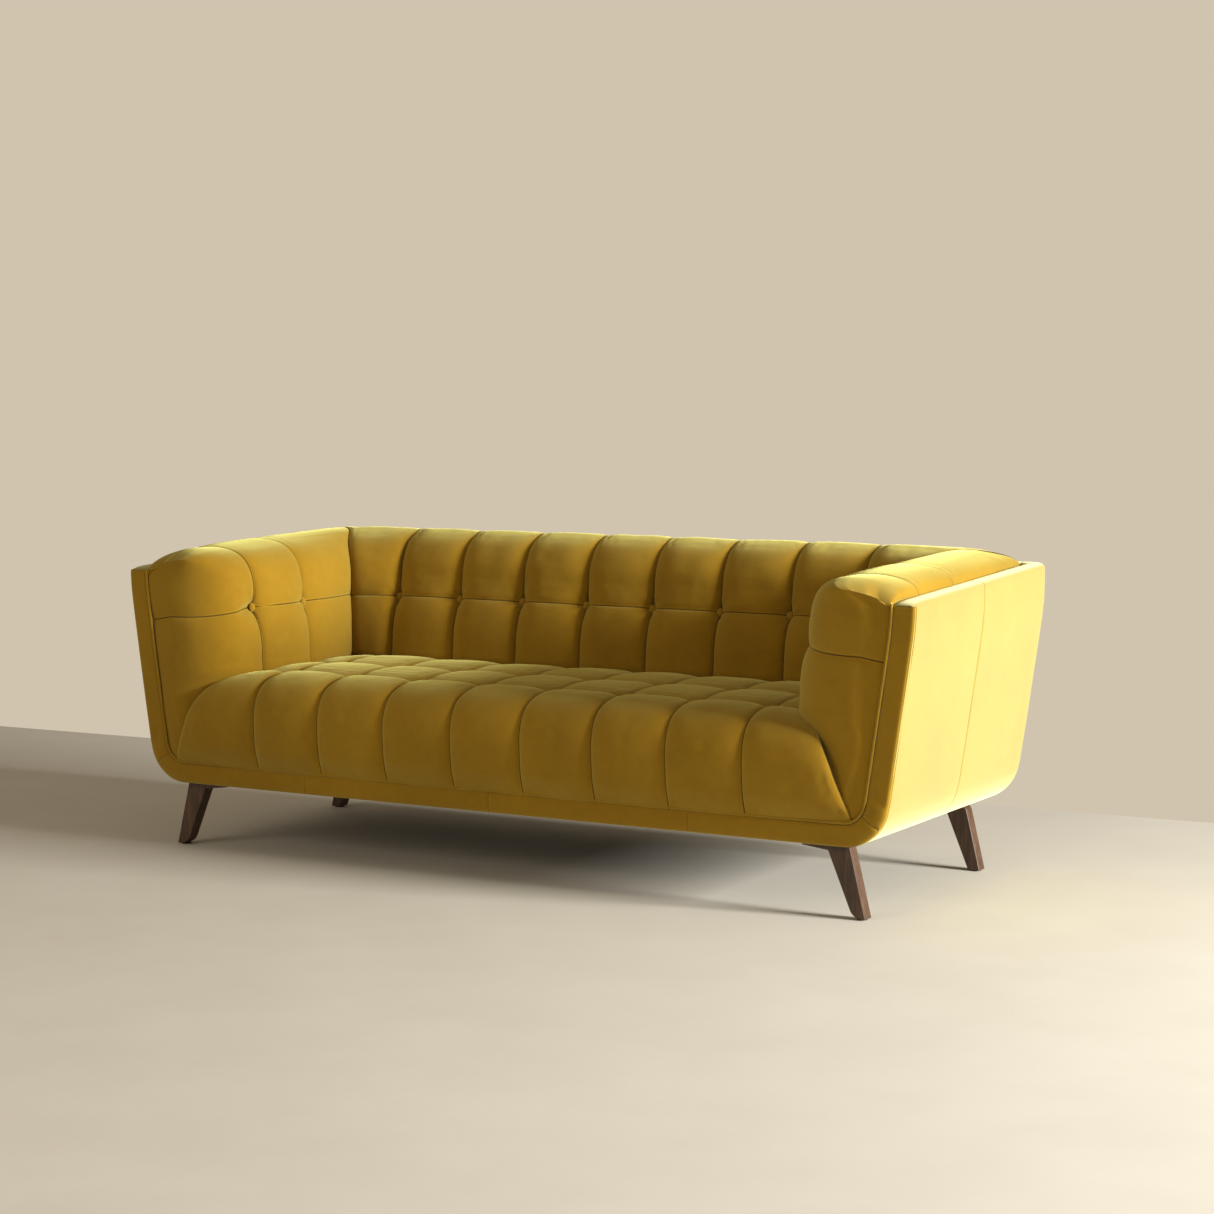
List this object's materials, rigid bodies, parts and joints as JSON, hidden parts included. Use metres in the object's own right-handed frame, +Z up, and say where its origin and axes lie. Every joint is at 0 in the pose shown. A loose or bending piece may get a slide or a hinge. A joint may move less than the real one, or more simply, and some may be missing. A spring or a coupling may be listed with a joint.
{
  "type": "sofa",
  "caption": "Low-armed three-seat sofa with a channel-tufted velvet seat, back and arms in a slanted upholstered shell on splayed wooden plank legs.",
  "frame": {"origin": "on the floor, under the middle of the sofa's bounding box", "axes": "+X to the sitter's left and the viewer's right, along the width; +Y towards the back; +Z up"},
  "size_m": [2.132, 0.85, 0.7687],
  "materials": {
    "velvet": "soft short-pile velvet with a strong sheen",
    "walnut": "dark oiled walnut, satin",
    "beech_frame": "planed kiln-dried beech, unfinished",
    "plywood": "bent plywood, unfinished",
    "foam": "open-cell upholstery foam",
    "felt": "needled felt",
    "webbing": "woven elastic webbing",
    "spring_steel": "oiled spring wire",
    "zinc_steel": "bright zinc plate",
    "twine": "waxed tufting twine",
    "dust_cloth": "black non-woven cloth",
    "glide_plastic": "dark moulded plastic"
  },
  "bodies": {
    "root": {"arm_buttons": "velvet", "back_bottom_rail": "beech_frame", "back_buttons": "velvet", "back_foam_core": "foam", "back_posts": "beech_frame", "back_quilted_cover": "velvet", "back_spacer_blocks": "beech_frame", "back_top_rail": "beech_frame", "back_webbing": "webbing", "button_ties": "twine", "corner_blocks": "beech_frame", "dust_cover": "dust_cloth", "floor_glides": "glide_plastic", "frame_dowels": "beech_frame", "front_left_leg": "walnut", "front_lower_rail": "beech_frame", "front_rail_band": "velvet", "front_right_leg": "walnut", "front_spring_rail": "beech_frame", "front_welt_cord": "velvet", "left_arm_foam_core": "foam", "left_arm_front_band": "velvet", "left_arm_front_post": "beech_frame", "left_arm_middle_rib": "beech_frame", "left_arm_quilted_cover": "velvet", "left_arm_rear_post": "beech_frame", "left_arm_top_rail": "beech_frame", "left_inner_arm_board": "plywood", "left_outer_arm_board": "plywood", "left_outer_arm_cover": "velvet", "left_seat_rail": "beech_frame", "leg_bolts": "zinc_steel", "leg_plates": "zinc_steel", "outside_back_board": "plywood", "outside_back_cover": "velvet", "plate_screws": "zinc_steel", "rear_left_leg": "walnut", "rear_right_leg": "walnut", "rear_seat_rail": "beech_frame", "right_arm_foam_core": "foam", "right_arm_front_band": "velvet", "right_arm_front_post": "beech_frame", "right_arm_middle_rib": "beech_frame", "right_arm_quilted_cover": "velvet", "right_arm_rear_post": "beech_frame", "right_arm_top_rail": "beech_frame", "right_inner_arm_board": "plywood", "right_outer_arm_board": "plywood", "right_outer_arm_cover": "velvet", "right_seat_rail": "beech_frame", "seat_foam_slab": "foam", "seat_front_roll": "foam", "seat_quilted_cover": "velvet", "seat_springs": "spring_steel", "seat_stretchers": "beech_frame", "spring_clips": "spring_steel", "spring_felt_pad": "felt"}
  },
  "joints": []
}
